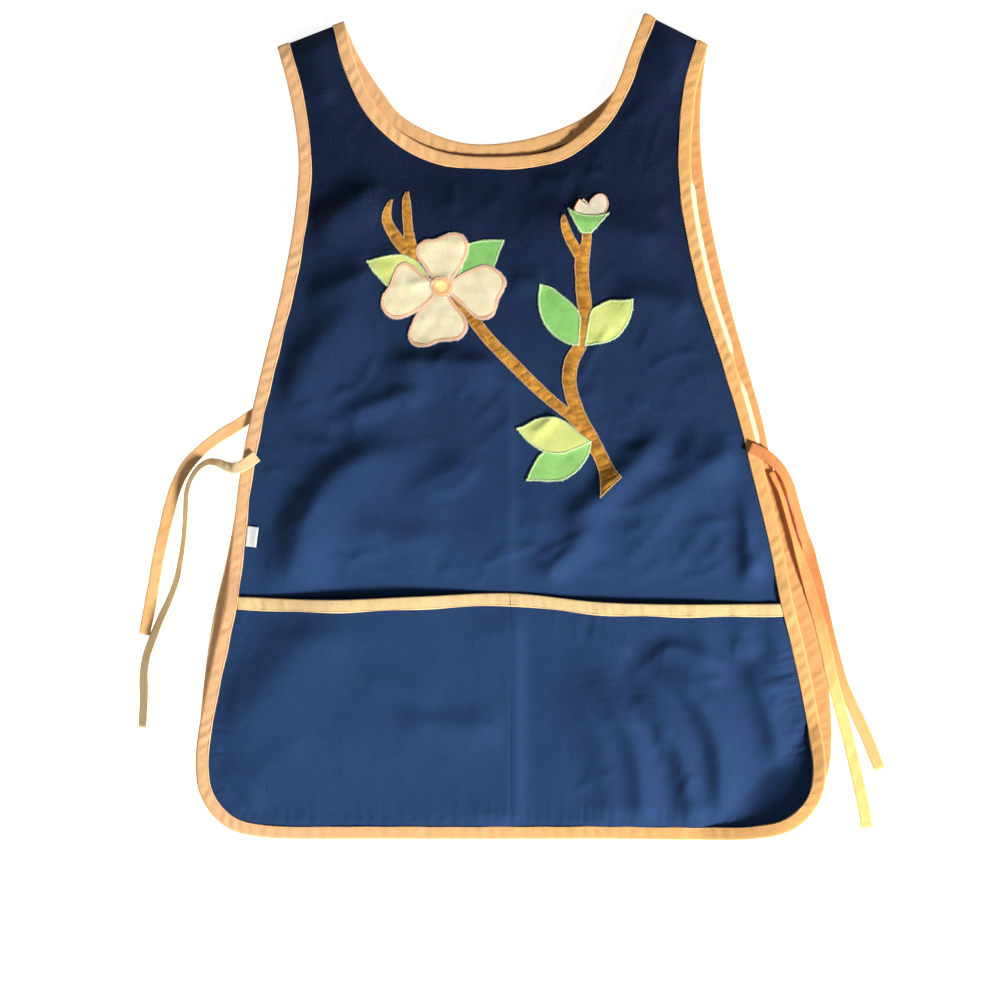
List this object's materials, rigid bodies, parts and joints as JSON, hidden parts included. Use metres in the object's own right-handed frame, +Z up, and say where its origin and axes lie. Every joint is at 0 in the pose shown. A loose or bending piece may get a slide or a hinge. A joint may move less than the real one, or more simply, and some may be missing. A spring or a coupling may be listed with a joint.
{
  "type": "tabard apron",
  "caption": "Navy cloth tabard apron lying flat, with contrast bound edges, a divided front pocket, side tape ties and a flowering-branch applique.",
  "frame": {"origin": "middle of the lying apron, on the surface that it lies on", "axes": "+X to the right as seen from above with the neck away, +Y from hem to neck, +Z up out of the front"},
  "size_m": [0.6731, 0.7449, 0.0204],
  "materials": {
    "navy_cloth": "matte plain-woven cotton blend",
    "binding_tape": "matte woven bias tape",
    "tie_tape": "matte folded tape",
    "label_white": "smooth woven satin tape",
    "petal_cream": "soft brushed cotton with stitched edge",
    "leaf_light": "plain-woven cotton with stitched edge",
    "leaf_green": "plain-woven cotton with stitched edge",
    "stem_brown": "plain-woven cotton with stitched edge"
  },
  "bodies": {
    "root": {"front_panel": "navy_cloth", "back_panel": "navy_cloth", "pocket_panel": "navy_cloth", "edge_binding_front": "binding_tape", "edge_binding_back": "binding_tape", "neck_binding_front": "binding_tape", "neck_binding_back": "binding_tape", "pocket_binding": "binding_tape", "tie_front_left": "tie_tape", "tie_back_left": "tie_tape", "tie_front_right": "tie_tape", "tie_back_right": "tie_tape", "label": "label_white", "petal_top": "petal_cream", "petal_right": "petal_cream", "petal_bottom": "petal_cream", "petal_left": "petal_cream", "bud": "petal_cream", "blossom_centre": "stem_brown", "leaf_blossom_left": "leaf_light", "leaf_middle_right": "leaf_light", "leaf_low_left": "leaf_light", "leaf_blossom_right": "leaf_green", "leaf_middle_left": "leaf_green", "leaf_low_under": "leaf_green", "calyx": "leaf_green", "long_branch": "stem_brown", "upright_branch": "stem_brown", "side_twig": "stem_brown", "fork_prong_left": "stem_brown", "fork_prong_right": "stem_brown"}
  },
  "joints": []
}
